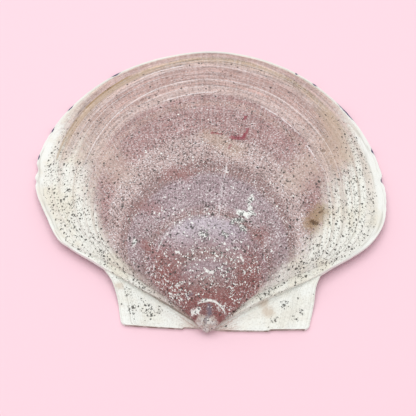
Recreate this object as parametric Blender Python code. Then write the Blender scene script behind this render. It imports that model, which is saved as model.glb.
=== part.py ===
"""The coloured valve of a large sea scallop, lying on its rim and hinge with the outside up.

A scallop grows at its rim. Each growth line is a smaller copy of the rim, scaled about the beak and
tipped up about the hinge line, the more the older it is. The whole outside is that family of lines,
so one grid of growth lines and threads makes the dome, the beak and both ears.
X runs along the hinge, +Y towards the front of the rim, +Z up. Sizes are in metres.
"""

import bmesh
import bpy
import numpy as np

# The rim of the disc, seen from above, from the left notch round the front to the right notch.
# The beak is at 0, 0 and the hinge line runs along y = 0.
DISC_RIM = (
    (-0.0476, 0.0249),
    (-0.0530, 0.0284),
    (-0.0620, 0.0336),
    (-0.0700, 0.0392),
    (-0.0768, 0.0510),
    (-0.0840, 0.0670),
    (-0.0853, 0.0820),
    (-0.0796, 0.1035),
    (-0.0666, 0.1236),
    (-0.0478, 0.1400),
    (-0.0250, 0.1502),
    (-0.0030, 0.1540),
    (0.0190, 0.1507),
    (0.0405, 0.1410),
    (0.0582, 0.1260),
    (0.0710, 0.1085),
    (0.0789, 0.0880),
    (0.0817, 0.0685),
    (0.0795, 0.0530),
    (0.0727, 0.0422),
    (0.0640, 0.0352),
    (0.0560, 0.0300),
    (0.0502, 0.0258),
)
# The outer edge of each ear, from its rounded hinge corner up to its notch.
LEFT_EAR_RIM = (
    (-0.0366, 0.0000),
    (-0.0380, 0.0008),
    (-0.0387, 0.0030),
    (-0.0401, 0.0098),
    (-0.0421, 0.0162),
    (-0.0443, 0.0208),
    (-0.0476, 0.0249),
)
RIGHT_EAR_RIM = (
    (0.0434, 0.0000),
    (0.0448, 0.0010),
    (0.0455, 0.0040),
    (0.0472, 0.0125),
    (0.0484, 0.0212),
    (0.0502, 0.0258),
)
# Places on the rim where a chip is missing: (part of the way round the disc, depth, half width).
RIM_CHIPS = ((0.179, 0.0012, 0.0045), (0.827, 0.0010, 0.0040), (0.161, 0.0006, 0.0025))
# A chip fades from the rim by this power of the growth scale.
CHIP_FADE = 30
DISC_RIM_LENGTH = 0.440

# How far the plane of a growth line tips about the hinge, in radians for each time the shell grew
# by a factor of e. The inside stops short of the beak, where the wall is thick.
COIL = 0.43
INNER_TIP_LIMIT = 1.0
# The disc's edge is tucked in a little above each crease while the shell is young. Distances
# aside run from 0 at the front to 1 at the creases.
FLANK_TUCK = 0.0025
FLANK_TUCK_STARTS = 0.70
FLANK_TUCK_FULL = 0.86
FLANK_TUCK_ENDS = 0.91
# The disc is fuller to each side of its middle than its flat growth lines alone would make it.
SIDE_FULLNESS = 0.0034
SIDE_FULLNESS_LEAN = 1.2
# The ears stay flatter than the disc beside them by this factor.
EAR_FLATNESS = 0.35
RIM_THICKNESS = 0.0018
# The rim's inner edge is its outer edge drawn in towards this point by this much.
HOLLOW_CENTRE = (0.0, 0.0600)
HOLLOW_SCALE = 0.978
# The wall under the dome is this much thicker than the rim, from this scale inwards.
DOME_THICKENING = 0.0007
DOME_THICK_FROM = 0.70
# The inside rounds over from the disc to the ears, along the direction of the creases.
CREASE_FILLET = 0.0080
CREASE_BEARING = np.radians(62.0)
# The shoulders stand this far off the ground, between the hinge and the front of the rim.
SHOULDER_LIFT = 0.0040
SHOULDER_LIFT_STARTS = 0.0050
SHOULDER_LIFT_FULL = 0.0280
SHOULDER_LIFT_FALLS = 0.0350
SHOULDER_LIFT_ENDS = 0.1100
# Older growth lines are lifted less, by this power of their scale.
SHOULDER_LIFT_FADE = 3
# The beak hangs over the hinge edge.
BEAK_REACH = 0.0020
BEAK_EXTENT = 0.060
BEAK_TIP_HEIGHT = 0.0022
# The disc stands on its ears with a small step along each crease, which grows with the shell.
CREASE_STEP = 0.0008
CREASE_STEP_WIDTH = 0.10
CREASE_STEP_STARTS = 0.10
CREASE_STEP_FULL = 0.40
# The hinge edge bows outwards in its middle and has a small step and a nick.
HINGE_BOW = 0.0012
HINGE_HALF_LENGTH = 0.0420
HINGE_STEP_AT = 0.0270
HINGE_STEP = 0.0007
HINGE_NICK_AT = -0.0110
HINGE_NICK = 0.0006
HINGE_NICK_ENDS = 0.0060
HINGE_STEP_LENGTH = 0.0015
HINGE_EDGE_FADE = 0.0030
# Inside, a flat plate runs along the hinge, with the ligament's pit in its middle.
PLATE_WIDTH = 0.0045
PLATE_SLOPE_WIDTH = 0.0050
PIT_DEPTH = 0.0014
PIT_LENGTH = 0.0042
PIT_HALF_WIDTH = 0.0036
PIT_WALL = 0.0012

# A growth ledge: (growth stage from 0 at the beak to 1 at the rim, height of its lip).
GROWTH_LEDGES = (
    (0.100, 0.00030),
    (0.205, 0.00030),
    (0.335, 0.00040),
    (0.490, 0.00060),
    (0.610, 0.00040),
    (0.700, 0.00050),
    (0.765, 0.00040),
    (0.835, 0.00060),
    (0.895, 0.00040),
    (0.930, 0.00045),
    (0.962, 0.00050),
)
LEDGE_FOOT = 0.005
# The ledges die away towards the creases and are faint on the ears.
LEDGE_FADE_STARTS = 0.78
LEDGE_FADE_ENDS = 0.93
EAR_LEDGES = 0.25
# At the sides the shell lagged behind its front until the last band, where it widened.
SIDE_LAG = 0.22
SIDE_LAG_EASING = 0.55
SIDE_LAG_STARTS = 0.30
SIDE_LAG_FULL = 0.80
LAST_BAND_STARTS = 0.955
# The outside isn't quite even: long low swells, lengths along and across the hinge.
SWELL_HEIGHT = 0.00035
SWELL_ALONG = 0.068
SWELL_ACROSS = 0.055
SWELL_SHIFT = (0.6, 1.9)

# The mesh: growth lines between the ledges, and threads across the ears and the disc.
BEAK_STAGES = (0.006, 0.016, 0.032, 0.052, 0.075)
WIDEST_STAGE_GAP = 0.058
INNER_STAGES = (0.010, 0.020, 0.032, 0.046, 0.066, 0.100, 0.150, 0.230, 0.340, 0.470, 0.620, 0.780, 0.920)
INNER_GUESSES = 40
EAR_THREADS = 9
DISC_THREADS = 76

SHELL_COLOUR = (0.46, 0.30, 0.28, 1.0)
SHELL_ROUGHNESS = 0.62
SHARP_ANGLE = np.radians(38.0)
MERGE_DISTANCE = 0.00002


def clear_scene():
    for thing in list(bpy.data.objects):
        bpy.data.objects.remove(thing, do_unlink=True)


def ease(value):
    """A smooth step from 0 to 1."""
    value = np.clip(value, 0.0, 1.0)
    return value * value * (3.0 - 2.0 * value)


def smooth_curve(knots, fractions):
    """Points on a curve through the knots, at fractions of its length, by cubic Hermite spans."""
    knots = np.asarray(knots, float)
    along = np.concatenate([[0.0], np.cumsum(np.linalg.norm(np.diff(knots, axis=0), axis=1))])
    along /= along[-1]
    slopes = np.gradient(knots, along, axis=0)
    span = np.clip(np.searchsorted(along, fractions, side="right") - 1, 0, len(along) - 2)
    width = (along[span + 1] - along[span])[:, None]
    t = (fractions - along[span])[:, None] / width
    start = (2 * t**3 - 3 * t**2 + 1) * knots[span] + (t**3 - 2 * t**2 + t) * width * slopes[span]
    end = (3 * t**2 - 2 * t**3) * knots[span + 1] + (t**3 - t**2) * width * slopes[span + 1]
    return start + end


def disc_fractions():
    """Even steps round the disc, with a few more where a chip is missing."""
    steps = list(np.linspace(0.0, 1.0, DISC_THREADS + 1))
    for place, _, half_width in RIM_CHIPS[:2]:
        spread = half_width / DISC_RIM_LENGTH
        steps += [place - spread, place, place + spread]
    return np.unique(np.round(steps, 6))


def rim_columns():
    """The whole rim as columns: plan points, distance aside from the front (0 to 1), and disc flags."""
    ear_steps = np.linspace(0.0, 1.0, EAR_THREADS)
    disc_steps = disc_fractions()
    left = smooth_curve(LEFT_EAR_RIM, ear_steps)
    disc = smooth_curve(DISC_RIM, disc_steps)
    right = smooth_curve(RIGHT_EAR_RIM, ear_steps)[::-1]
    points = np.concatenate([left, disc, right])
    round_disc = np.concatenate([np.zeros(EAR_THREADS), disc_steps, np.ones(EAR_THREADS)])
    is_disc = np.concatenate([np.zeros(EAR_THREADS), np.ones(len(disc)), np.zeros(EAR_THREADS)]) > 0.5
    return points, round_disc, is_disc


def inward_normals(points):
    """The direction into the shell at each rim point, seen from above."""
    ahead = np.roll(points, -1, axis=0)
    behind = np.roll(points, 1, axis=0)
    ahead[-1] = points[-1]
    behind[0] = points[0]
    along = ahead - behind
    along /= np.linalg.norm(along, axis=1)[:, None]
    return np.stack([along[:, 1], -along[:, 0]], axis=1)


def chip_depth(round_disc, is_disc):
    """How far the chips cut the rim back at each column."""
    depth = np.zeros(len(round_disc))
    for place, deepest, half_width in RIM_CHIPS:
        spread = half_width / DISC_RIM_LENGTH
        depth = np.maximum(depth, deepest * (1.0 - ease(np.abs(round_disc - place) / spread)))
    return np.where(is_disc, depth, 0.0)


def growth_scale(stages, aside):
    """The scale of each growth line at each column: its stage, less the lag of the sides."""
    starts = ease((stages - SIDE_LAG_STARTS) / (SIDE_LAG_FULL - SIDE_LAG_STARTS))
    ends = ease((stages - LAST_BAND_STARTS) / (1.0 - LAST_BAND_STARTS))
    lag = SIDE_LAG * starts * (1.0 - ends)
    spread = aside**2 * (1.0 - SIDE_LAG_EASING * aside**6)
    return stages[:, None] - lag[:, None] * spread[None, :]


def rim_lift(points):
    """The height of the rim's lower edge: on the ground in front and at the hinge, lifted at the shoulders."""
    y = points[:, 1]
    rise = ease((y - SHOULDER_LIFT_STARTS) / (SHOULDER_LIFT_FULL - SHOULDER_LIFT_STARTS))
    fall = 1.0 - ease((y - SHOULDER_LIFT_FALLS) / (SHOULDER_LIFT_ENDS - SHOULDER_LIFT_FALLS))
    return SHOULDER_LIFT * rise * fall


def side_fullness(scale, aside):
    """Extra height to each side of the disc's middle: none at the beak, the rim or the creases."""
    # This product is 1 where it is largest, two thirds of the way out.
    outwards = 6.75 * scale**2 * (1.0 - scale)
    return SIDE_FULLNESS * outwards * np.sin(np.pi * aside**SIDE_FULLNESS_LEAN) ** 2


def ledge_height(stages):
    """Between two ledges the surface climbs slowly to the outer lip, then drops at its foot."""
    height = np.zeros(len(stages))
    foot = 0.0
    for stage, lip in GROWTH_LEDGES:
        climb = (stages - foot) / (stage - foot)
        height = np.where((climb >= 0.0) & (climb <= 1.0), lip * climb**2, height)
        foot = stage + LEDGE_FOOT
    return height


def outer_stages():
    """Growth stages of the outside's rows: both edges of each ledge, and even steps between."""
    stages = list(BEAK_STAGES)
    last = BEAK_STAGES[-1]
    for stage in [ledge[0] for ledge in GROWTH_LEDGES] + [1.0]:
        between = int(np.ceil((stage - last) / WIDEST_STAGE_GAP))
        stages += list(np.linspace(last, stage, between + 1)[1:])
        last = stage + LEDGE_FOOT
        if stage < 1.0:
            stages.append(last)
    return np.array(stages)


def surface_normals(grid):
    """Unit normals of a grid of points, upwards."""
    down = np.gradient(grid, axis=0)
    across = np.gradient(grid, axis=1)
    normal = np.cross(across, down)
    length = np.linalg.norm(normal, axis=2, keepdims=True)
    normal = normal / np.maximum(length, 1e-12)
    return np.where(normal[..., 2:] < 0.0, -normal, normal)


def hinge_shift(grid):
    """How far the hinge edge leaves its straight line, fading out towards the front."""
    x = grid[..., 0]
    bow = -HINGE_BOW * (1.0 - np.clip(x / HINGE_HALF_LENGTH, -1.0, 1.0) ** 2)
    step = HINGE_STEP * ease((x - HINGE_STEP_AT) / HINGE_STEP_LENGTH)
    nick = HINGE_NICK * ease((x - HINGE_NICK_AT) / HINGE_STEP_LENGTH) * (1.0 - ease(x / HINGE_NICK_ENDS))
    return (bow + step + nick) * np.exp(-np.maximum(grid[..., 1], 0.0) / HINGE_EDGE_FADE)


def rim_shift(scale, round_disc, aside, is_disc):
    """How far each growth line is drawn in: the tuck above each crease, and the chips."""
    into_tuck = ease((aside - FLANK_TUCK_STARTS) / (FLANK_TUCK_FULL - FLANK_TUCK_STARTS))
    out_of_tuck = np.clip((1.0 - aside) / (1.0 - FLANK_TUCK_ENDS), 0.0, 1.0)
    tuck = np.where(is_disc, into_tuck * out_of_tuck, 0.0)
    # Four times s times 1 - s is 1 at its largest, half way out.
    return FLANK_TUCK * 4.0 * scale * (1.0 - scale) * tuck + chip_depth(round_disc, is_disc) * scale**CHIP_FADE


def relief_height(stages, grid, scale, aside, is_disc):
    """The height of the ledges and swells over the even surface."""
    fade = 1.0 - ease((aside - LEDGE_FADE_STARTS) / (LEDGE_FADE_ENDS - LEDGE_FADE_STARTS))
    ledges = ledge_height(stages)[:, None] * np.where(is_disc, fade, EAR_LEDGES)
    along = np.sin(2.0 * np.pi * grid[..., 0] / SWELL_ALONG + SWELL_SHIFT[0])
    across = np.sin(2.0 * np.pi * grid[..., 1] / SWELL_ACROSS + SWELL_SHIFT[1])
    # The swells die away over the eighth of the shell next to the rim and the fifth next to the beak.
    inner = ease(8.0 * (1.0 - scale)) * ease(5.0 * scale)
    return ledges + SWELL_HEIGHT * along * across * inner * is_disc


def outer_grid(stages, points, round_disc, is_disc):
    """The outside: growth lines by rim columns."""
    aside = np.abs(2.0 * round_disc - 1.0)
    scale = growth_scale(stages, aside)
    tip = -COIL * np.log(scale)
    flat = np.where(is_disc, 1.0, EAR_FLATNESS)
    x = scale * points[:, 0]
    y = scale * points[:, 1] * np.cos(tip)
    z = scale * points[:, 1] * np.sin(tip) * flat
    z += side_fullness(scale, aside)
    near_crease = np.where(is_disc, 1.0 - ease((1.0 - aside) / CREASE_STEP_WIDTH), 0.0)
    grown = ease((scale - CREASE_STEP_STARTS) / (CREASE_STEP_FULL - CREASE_STEP_STARTS))
    z += CREASE_STEP * near_crease * grown
    z += RIM_THICKNESS + rim_lift(points) * scale**SHOULDER_LIFT_FADE
    y -= np.where(is_disc, BEAK_REACH, 0.0) * np.exp(-((scale / BEAK_EXTENT) ** 2))
    grid = np.stack([x, y, z], axis=2)
    grid[..., :2] += rim_shift(scale, round_disc, aside, is_disc)[..., None] * inward_normals(points)
    grid += surface_normals(grid) * relief_height(stages, grid, scale, aside, is_disc)[..., None]
    grid[..., 1] += hinge_shift(grid)
    return grid


def inner_edge(points):
    """The rim's inner edge: the rim drawn in towards the middle of the hollow."""
    centre = np.array(HOLLOW_CENTRE)
    inside = centre + HOLLOW_SCALE * (points - centre)
    inside[[0, -1], 1] = 0.0
    return inside


def inner_height(x, y, inside):
    """The inside's height over a plan point.

    The growth stage there is found by repeated guesses: untip the point, and compare its distance
    from the beak with that of the inner edge in the same direction.
    """
    bearing = np.arctan2(inside[:, 0], inside[:, 1])
    reach = np.linalg.norm(inside, axis=1)
    y = np.maximum(y, 1e-6)
    tip = np.zeros(x.shape)
    for _ in range(INNER_GUESSES):
        flat_y = y / np.cos(tip)
        scale = np.hypot(x, flat_y) / np.interp(np.arctan2(x, flat_y), bearing, reach)
        scale = np.clip(scale, 0.001, 1.0)
        tip = 0.5 * tip + 0.5 * np.minimum(-COIL * np.log(scale), INNER_TIP_LIMIT)
    crease_left = inside[EAR_THREADS - 1]
    crease_right = inside[-EAR_THREADS]
    crease = np.where((x < 0.0)[..., None], crease_left, crease_right)
    crease = crease / np.linalg.norm(crease, axis=-1, keepdims=True)
    off_crease = np.abs(crease[..., 0]) * y - crease[..., 1] * np.abs(x)
    hollow = ease(off_crease / CREASE_FILLET)
    aside = np.clip(np.abs(np.arctan2(x, y)) / CREASE_BEARING, 0.0, 1.0)
    z = y * np.tan(tip) * (EAR_FLATNESS + (1.0 - EAR_FLATNESS) * hollow)
    thicker = DOME_THICKENING * ease((1.0 - scale) / (1.0 - DOME_THICK_FROM))
    z += hollow * (side_fullness(scale, aside) - thicker)
    edge = np.stack([np.zeros_like(x), flat_y / scale], axis=-1)
    z += rim_lift(edge.reshape(-1, 2)).reshape(x.shape) * scale**SHOULDER_LIFT_FADE
    z = np.maximum(z, 0.0) * ease((y - PLATE_WIDTH) / PLATE_SLOPE_WIDTH)
    half_width = PIT_HALF_WIDTH * np.clip(y / PIT_LENGTH, 0.15, 1.0)
    front = 1.0 - ease((y - PIT_LENGTH) / PIT_WALL)
    pit = (1.0 - ease(np.abs(x) / half_width)) * ease(y / PIT_WALL) * front
    return z + PIT_DEPTH * pit


def inner_grid(stages, inside, kept):
    """The inside: the rim's inner edge scaled towards the middle of the hinge."""
    plan = stages[:, None, None] * inside[None, kept]
    z = inner_height(plan[..., 0], plan[..., 1], inside)
    grid = np.concatenate([plan, z[..., None]], axis=2)
    grid[..., 1] += hinge_shift(grid)
    return grid


class Skin:
    """Gathers points and faces of the closed surface."""

    def __init__(self):
        self.points = []
        self.faces = []

    def add_line(self, line):
        first = len(self.points)
        self.points += [tuple(point) for point in line]
        return list(range(first, first + len(line)))

    def add_point(self, point):
        self.points.append(tuple(point))
        return len(self.points) - 1

    def strip(self, one, other):
        """Quads between two lines of equal length."""
        for i in range(len(one) - 1):
            self.faces.append((one[i], one[i + 1], other[i + 1], other[i]))

    def sew(self, one, other, one_marks=None, other_marks=None):
        """Triangles between two lines of different lengths, in step with their marks or distances."""
        a = self.distances(one) if one_marks is None else one_marks
        b = self.distances(other) if other_marks is None else other_marks
        i = 0
        j = 0
        while i < len(one) - 1 or j < len(other) - 1:
            step_one = j == len(other) - 1 or (i < len(one) - 1 and a[i + 1] <= b[j + 1])
            if step_one:
                self.faces.append((one[i], one[i + 1], other[j]))
                i += 1
            else:
                self.faces.append((one[i], other[j + 1], other[j]))
                j += 1

    def distances(self, line):
        points = np.array([self.points[i] for i in line])
        along = np.concatenate([[0.0], np.cumsum(np.linalg.norm(np.diff(points, axis=0), axis=1))])
        return along / along[-1]

    def fan(self, centre, line):
        for i in range(len(line) - 1):
            self.faces.append((centre, line[i], line[i + 1]))


def valve_skin():
    """Outside, rim, inside and hinge edge, sewn into one closed surface."""
    points, round_disc, is_disc = rim_columns()
    inside = inner_edge(points)
    stages = outer_stages()
    outer = outer_grid(stages, points, round_disc, is_disc)

    skin = Skin()
    outer_rows = [skin.add_line(row) for row in outer]
    for near, far in zip(outer_rows[:-1], outer_rows[1:]):
        skin.strip(near, far)

    # The rim's wall and its flat land, which stands on the ground in front.
    foot = outer[-1].copy()
    foot[:, 2] = rim_lift(points)
    land = np.column_stack([inside, rim_lift(inside)])
    land[:, :2] += chip_depth(round_disc, is_disc)[:, None] * inward_normals(points)
    land[[0, -1], 1] = foot[[0, -1], 1]
    foot_row = skin.add_line(foot)
    land_row = skin.add_line(land)
    skin.strip(outer_rows[-1], foot_row)
    skin.strip(foot_row, land_row)

    # Every other column is enough for the smooth inside.
    creases = [EAR_THREADS - 1, len(points) - EAR_THREADS]
    kept = np.unique(np.concatenate([np.arange(0, len(points), 2), creases, [len(points) - 1]]))
    inner = inner_grid(np.array(INNER_STAGES), inside, kept)
    inner_rows = [skin.add_line(row) for row in inner]
    for near, far in zip(inner_rows[:-1], inner_rows[1:]):
        skin.strip(near, far)
    skin.sew(inner_rows[-1], land_row, kept, np.arange(len(points)))

    # The beak's tip and the middle of the hinge plate close both grids.
    tip = skin.add_point((0.0, -BEAK_REACH - HINGE_BOW, BEAK_TIP_HEIGHT))
    middle = skin.add_point((0.0, -HINGE_BOW + HINGE_NICK, 0.0))
    skin.fan(tip, outer_rows[0])
    skin.fan(middle, inner_rows[0])

    # The hinge edge on each side, from the middle out to the ear's corner.
    for side in (0, -1):
        upper = [tip] + [row[side] for row in outer_rows] + [foot_row[side]]
        lower = [middle] + [row[side] for row in inner_rows] + [land_row[side]]
        skin.sew(upper, lower)
    return skin


def centred(points):
    """Moves the points so that the middle of their box is at x = 0, y = 0 and its bottom at z = 0."""
    points = np.array(points)
    low = points.min(axis=0)
    high = points.max(axis=0)
    return points - np.array([(low[0] + high[0]) / 2, (low[1] + high[1]) / 2, low[2]])


def shell_material():
    material = bpy.data.materials.new("shell")
    material.use_nodes = True
    surface = material.node_tree.nodes["Principled BSDF"]
    surface.inputs["Base Color"].default_value = SHELL_COLOUR
    surface.inputs["Roughness"].default_value = SHELL_ROUGHNESS
    surface.inputs["Metallic"].default_value = 0.0
    return material


def build_valve():
    skin = valve_skin()
    mesh = bpy.data.meshes.new("scallop_valve")
    mesh.from_pydata(centred(skin.points).tolist(), [], skin.faces)
    shape = bmesh.new()
    shape.from_mesh(mesh)
    bmesh.ops.remove_doubles(shape, verts=shape.verts, dist=MERGE_DISTANCE)
    bmesh.ops.triangulate(shape, faces=shape.faces)
    bmesh.ops.dissolve_degenerate(shape, edges=shape.edges, dist=MERGE_DISTANCE)
    bmesh.ops.recalc_face_normals(shape, faces=shape.faces)
    shape.to_mesh(mesh)
    shape.free()
    mesh.shade_smooth()
    mesh.set_sharp_from_angle(angle=SHARP_ANGLE)
    mesh.materials.append(shell_material())
    valve = bpy.data.objects.new("scallop_valve", mesh)
    bpy.context.scene.collection.objects.link(valve)
    return valve


clear_scene()
build_valve()
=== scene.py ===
"""A scallop valve at full detail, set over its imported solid.

The valve grew at its rim, so its outside is one family of growth lines: each is the rim made smaller
about the beak and tipped up about the hinge line. The same family carries the colours: every point of
the mesh knows how far round the disc it lies, in which growth stage, and whether it is on an ear.
"""

import logging
from collections.abc import Callable
from dataclasses import dataclass, field
from enum import Enum

import bmesh
import bpy
import numpy as np
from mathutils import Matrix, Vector


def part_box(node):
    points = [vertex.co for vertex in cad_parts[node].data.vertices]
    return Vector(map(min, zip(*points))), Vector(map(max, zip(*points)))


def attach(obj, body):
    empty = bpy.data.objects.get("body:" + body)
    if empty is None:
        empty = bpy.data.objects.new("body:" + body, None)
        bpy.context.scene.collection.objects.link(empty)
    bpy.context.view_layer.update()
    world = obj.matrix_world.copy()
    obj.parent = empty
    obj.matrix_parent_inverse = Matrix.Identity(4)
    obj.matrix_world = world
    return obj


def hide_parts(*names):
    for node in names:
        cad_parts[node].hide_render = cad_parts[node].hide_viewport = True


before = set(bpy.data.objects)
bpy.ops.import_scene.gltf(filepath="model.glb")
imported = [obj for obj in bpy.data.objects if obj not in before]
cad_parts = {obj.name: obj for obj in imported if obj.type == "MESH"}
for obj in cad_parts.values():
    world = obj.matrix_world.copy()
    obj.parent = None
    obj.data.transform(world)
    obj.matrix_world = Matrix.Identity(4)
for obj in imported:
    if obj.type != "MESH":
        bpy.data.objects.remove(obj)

LOG = logging.getLogger("scallop")
Array = np.ndarray
Spot = tuple[float, float]
Knots = tuple[Spot, ...]
Locate = Callable[[Spot], tuple[float, float, float]]
Value = "Socket | float"
MM = 1000.0


def ease(value: Array) -> Array:
    """A smooth step from 0 to 1."""
    value = np.clip(value, 0.0, 1.0)
    return value * value * (3.0 - 2.0 * value)


def smooth_curve(knots: Knots, fractions: Array) -> Array:
    """Points on a curve through the knots, by cubic Hermite spans on chord length.

    Args:
        knots: the points that the curve passes through.
        fractions: parts of the curve's length, from 0 to 1.

    Returns:
        One point for each fraction.
    """
    points = np.asarray(knots, float)
    along = np.concatenate([[0.0], np.cumsum(np.linalg.norm(np.diff(points, axis=0), axis=1))])
    along /= along[-1]
    slopes = np.gradient(points, along, axis=0)
    span = np.clip(np.searchsorted(along, fractions, side="right") - 1, 0, len(along) - 2)
    width = (along[span + 1] - along[span])[:, None]
    t = (fractions - along[span])[:, None] / width
    start = (2 * t**3 - 3 * t**2 + 1) * points[span] + (t**3 - 2 * t**2 + t) * width * slopes[span]
    end = (3 * t**2 - 2 * t**3) * points[span + 1] + (t**3 - t**2) * width * slopes[span + 1]
    return start + end


def wander(at: Array, knots: int, seed: int) -> Array:
    """A smooth random line between -1 and 1 over 0 to 1, the same for the same seed."""
    heights = np.random.default_rng(seed).uniform(-1.0, 1.0, knots + 1)
    place = np.clip(at, 0.0, 1.0) * knots
    low = np.minimum(place.astype(int), knots - 1)
    return heights[low] + (heights[low + 1] - heights[low]) * ease(place - low)


@dataclass
class Columns:
    """The rim as columns of the mesh: plan points, part of the way round, and whether on the disc."""

    points: Array
    around: Array
    is_disc: Array

    @property
    def aside(self) -> Array:
        """How far each column is from the front: 0 there, 1 at the creases."""
        return np.abs(2.0 * self.around - 1.0)

    def inward(self) -> Array:
        """The direction into the shell at each rim point, square to the rim."""
        ahead = np.roll(self.points, -1, axis=0)
        behind = np.roll(self.points, 1, axis=0)
        ahead[-1] = self.points[-1]
        behind[0] = self.points[0]
        along = ahead - behind
        along /= np.linalg.norm(along, axis=1)[:, None]
        return np.stack([along[:, 1], -along[:, 0]], axis=1)


@dataclass
class Rim:
    """The rim seen from above, in metres: the beak at 0, 0 and the hinge line along y = 0."""

    disc: Knots = (
        (-0.0476, 0.0249), (-0.0530, 0.0284), (-0.0620, 0.0336), (-0.0700, 0.0392), (-0.0768, 0.0510),
        (-0.0840, 0.0670), (-0.0853, 0.0820), (-0.0796, 0.1035), (-0.0666, 0.1236), (-0.0478, 0.1400),
        (-0.0250, 0.1502), (-0.0030, 0.1540), (0.0190, 0.1507), (0.0405, 0.1410), (0.0582, 0.1260),
        (0.0710, 0.1085), (0.0789, 0.0880), (0.0817, 0.0685), (0.0795, 0.0530), (0.0727, 0.0422),
        (0.0640, 0.0352), (0.0560, 0.0300), (0.0502, 0.0258),
    )
    left_ear: Knots = (
        (-0.0366, 0.0000), (-0.0380, 0.0008), (-0.0387, 0.0030), (-0.0401, 0.0098), (-0.0421, 0.0162),
        (-0.0443, 0.0208), (-0.0476, 0.0249),
    )
    right_ear: Knots = (
        (0.0434, 0.0000), (0.0448, 0.0010), (0.0455, 0.0040), (0.0472, 0.0125), (0.0484, 0.0212),
        (0.0502, 0.0258),
    )
    chips: tuple[tuple[float, float, float], ...] = (
        (0.179, 0.0012, 0.0045),
        (0.827, 0.0010, 0.0040),
        (0.161, 0.0006, 0.0025),
    )
    disc_length: float = 0.380
    raggedness: float = 0.00016

    def columns(self, disc_count: int, ear_count: int) -> Columns:
        """Cuts the rim into columns, from the left hinge corner round the front to the right one.

        Args:
            disc_count: how many columns the disc gets.
            ear_count: how many each ear gets.

        Returns:
            The columns, each notch standing once on its ear and once on the disc.
        """
        ear_steps = np.linspace(0.0, 1.0, ear_count)
        disc_steps = np.linspace(0.0, 1.0, disc_count)
        left = smooth_curve(self.left_ear, ear_steps)
        right = smooth_curve(self.right_ear, ear_steps)[::-1]
        points = np.concatenate([left, smooth_curve(self.disc, disc_steps), right])
        around = np.concatenate([np.zeros(ear_count), disc_steps, np.ones(ear_count)])
        is_disc = np.zeros(len(points), bool)
        is_disc[ear_count:-ear_count] = True
        return Columns(points, around, is_disc)

    def cut_back(self, columns: Columns) -> Array:
        """How far chips and small breaks cut the rim back at each column."""
        depth = np.zeros(len(columns.around))
        for place, deepest, half_width in self.chips:
            spread = half_width / self.disc_length
            depth = np.maximum(depth, deepest * (1.0 - ease(np.abs(columns.around - place) / spread)))
        ragged = np.clip(wander(columns.around, 170, 5) + 0.5 * wander(columns.around, 61, 6), 0.0, None)
        fresh = 0.35 + 0.65 * ease((columns.aside - 0.35) / 0.25)
        return np.where(columns.is_disc, depth + self.raggedness * ragged * fresh, 0.0)


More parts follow.
